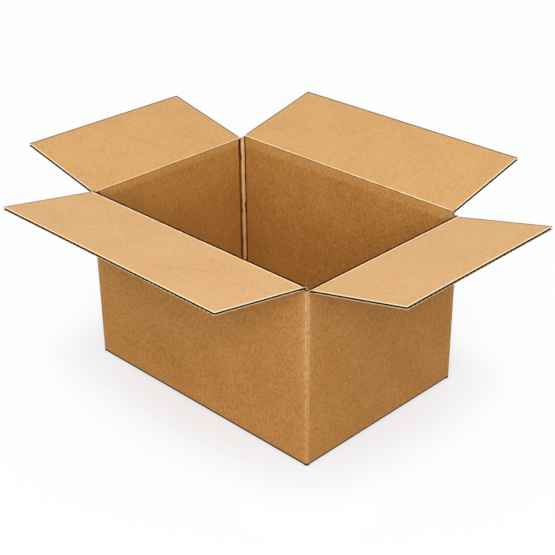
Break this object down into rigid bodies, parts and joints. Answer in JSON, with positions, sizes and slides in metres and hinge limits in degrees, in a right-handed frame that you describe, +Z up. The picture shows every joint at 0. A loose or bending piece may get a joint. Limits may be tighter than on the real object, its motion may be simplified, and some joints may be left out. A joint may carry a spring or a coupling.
{
  "type": "open cardboard box",
  "caption": "Open slotted shipping box of corrugated cardboard, its top flaps hinged and standing open, its bottom glued shut.",
  "frame": {"origin": "on the floor under the middle of the box", "axes": "+Z up, +X along the long walls towards the glued joint's end, +Y from the front wall to the back wall"},
  "size_m": [0.7681, 0.629, 0.3179],
  "materials": {
    "kraft_board": "matte brown kraft liner",
    "fluted_board": "matte brown kraft liner, fluted medium at the cut edges",
    "dried_glue": "clear dried paste"
  },
  "bodies": {
    "box": {"box_body": "kraft_board", "joint_glue": "dried_glue", "bottom_glue": "dried_glue"},
    "front": {"front_flap": "fluted_board"},
    "back": {"back_flap": "fluted_board"},
    "left": {"left_flap": "fluted_board"},
    "right": {"right_flap": "fluted_board"}
  },
  "joints": [
    {"name": "front_crease", "type": "hinge", "parent": "box", "child": "front", "pos_m": [0, -0.159, 0.277], "axis": [-1, 0, 0], "range_deg": [-91.5, 170.5]},
    {"name": "back_crease", "type": "hinge", "parent": "box", "child": "back", "pos_m": [0, 0.159, 0.277], "axis": [1, 0, 0], "range_deg": [-95.5, 166.5]},
    {"name": "left_crease", "type": "hinge", "parent": "box", "child": "left", "pos_m": [-0.225, 0, 0.2727], "axis": [0, 1, 0], "range_deg": [-94.5, 167.5]},
    {"name": "right_crease", "type": "hinge", "parent": "box", "child": "right", "pos_m": [0.225, 0, 0.2727], "axis": [0, -1, 0], "range_deg": [-95, 167]}
  ]
}
